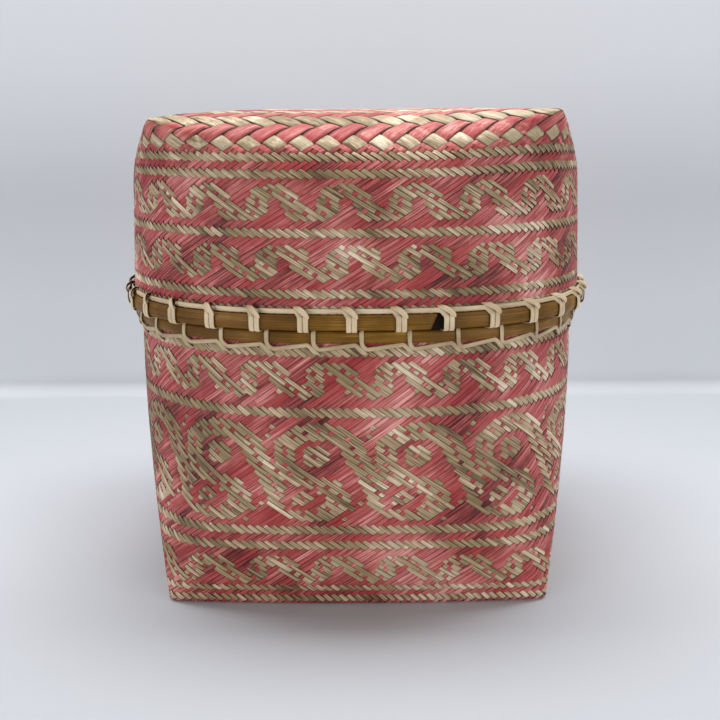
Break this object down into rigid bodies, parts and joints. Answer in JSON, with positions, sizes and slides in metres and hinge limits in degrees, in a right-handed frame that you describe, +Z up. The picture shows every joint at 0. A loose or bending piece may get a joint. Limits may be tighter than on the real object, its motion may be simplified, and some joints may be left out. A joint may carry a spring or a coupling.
{
  "type": "bamboo box",
  "caption": "Plaited bamboo keepsake box with a lift-off lid, double woven walls and rattan-lashed bamboo rim hoops.",
  "frame": {"origin": "middle of the base's flat bottom, on the surface the box stands on", "axes": "+Z up through the lid, -Y towards the front, +X to the right seen from the front"},
  "size_m": [0.1916, 0.1916, 0.1882],
  "materials": {
    "dyed_plait": "fine plaited bamboo splints, half dyed pink and half natural straw, satin",
    "straw_plait": "undyed plaited bamboo splints, matt",
    "bamboo_hoop": "split bamboo with brown skin and fine lengthwise grain, satin",
    "rattan_strip": "pale split rattan, smooth satin"
  },
  "bodies": {
    "base": {"base_outer_plait": "dyed_plait", "base_lining": "straw_plait", "base_ledge_hoop": "bamboo_hoop", "base_inner_hoop": "bamboo_hoop", "base_lashing": "rattan_strip"},
    "lid": {"lid_outer_plait": "dyed_plait", "lid_lining": "straw_plait", "lid_rim_hoop": "bamboo_hoop", "lid_inner_hoop": "bamboo_hoop", "lid_lashing": "rattan_strip"}
  },
  "joints": [
    {"name": "lid_lift", "type": "slide", "parent": "base", "child": "lid", "axis": [0, 0, 1], "range_m": [0, 0.09]}
  ]
}
